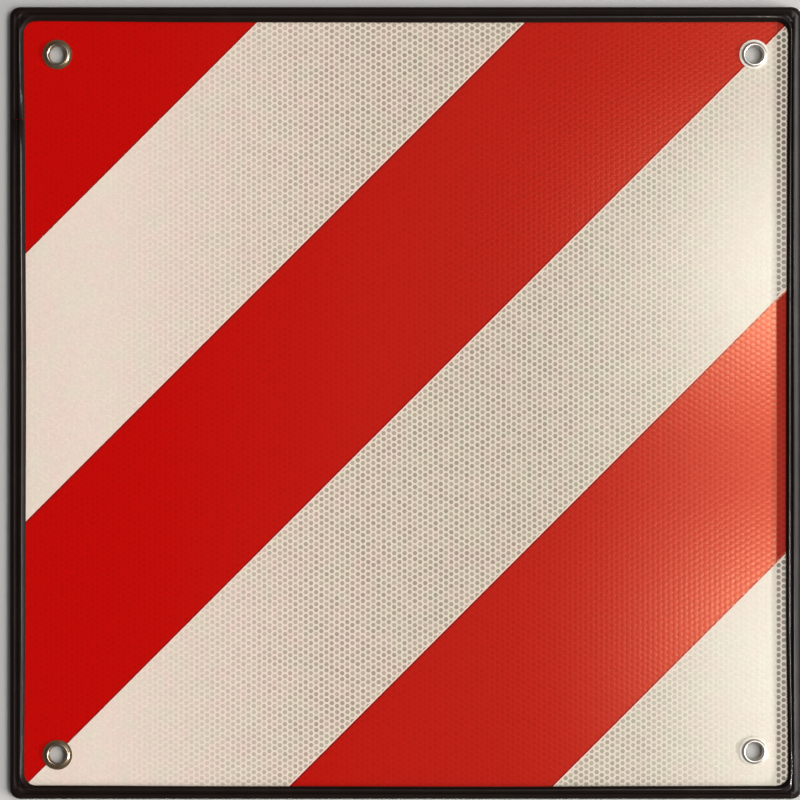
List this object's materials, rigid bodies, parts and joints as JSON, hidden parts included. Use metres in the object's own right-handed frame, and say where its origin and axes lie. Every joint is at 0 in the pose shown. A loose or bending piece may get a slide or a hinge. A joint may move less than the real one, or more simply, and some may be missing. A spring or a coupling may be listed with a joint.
{
  "type": "overhanging load sign",
  "caption": "Square flat warning panel with diagonal reflective stripes, a soft edging profile and a lashing eyelet in each corner, for a load that sticks out behind a vehicle.",
  "frame": {"origin": "centre of the footprint of the panel as it lies face up, on the surface under it", "axes": "+X to the right and +Y to the top of the striped face, +Z out of the face"},
  "size_m": [0.5032, 0.5032, 0.0075],
  "materials": {
    "aluminium_plate": "mill finish",
    "white_sheeting": "white honeycomb retroreflective sheeting",
    "red_film": "transparent red",
    "black_profile": "satin",
    "nickel": "nickel plated"
  },
  "bodies": {
    "root": {"backing_plate": "aluminium_plate", "honeycomb_sheet": "white_sheeting", "red_field_corner": "red_film", "red_field_middle": "red_film", "red_field_lower": "red_film", "edge_trim": "black_profile", "eyelet_top_left": "nickel", "eyelet_washer_top_left": "nickel", "eyelet_top_right": "nickel", "eyelet_washer_top_right": "nickel", "eyelet_bottom_left": "nickel", "eyelet_washer_bottom_left": "nickel", "eyelet_bottom_right": "nickel", "eyelet_washer_bottom_right": "nickel"}
  },
  "joints": []
}
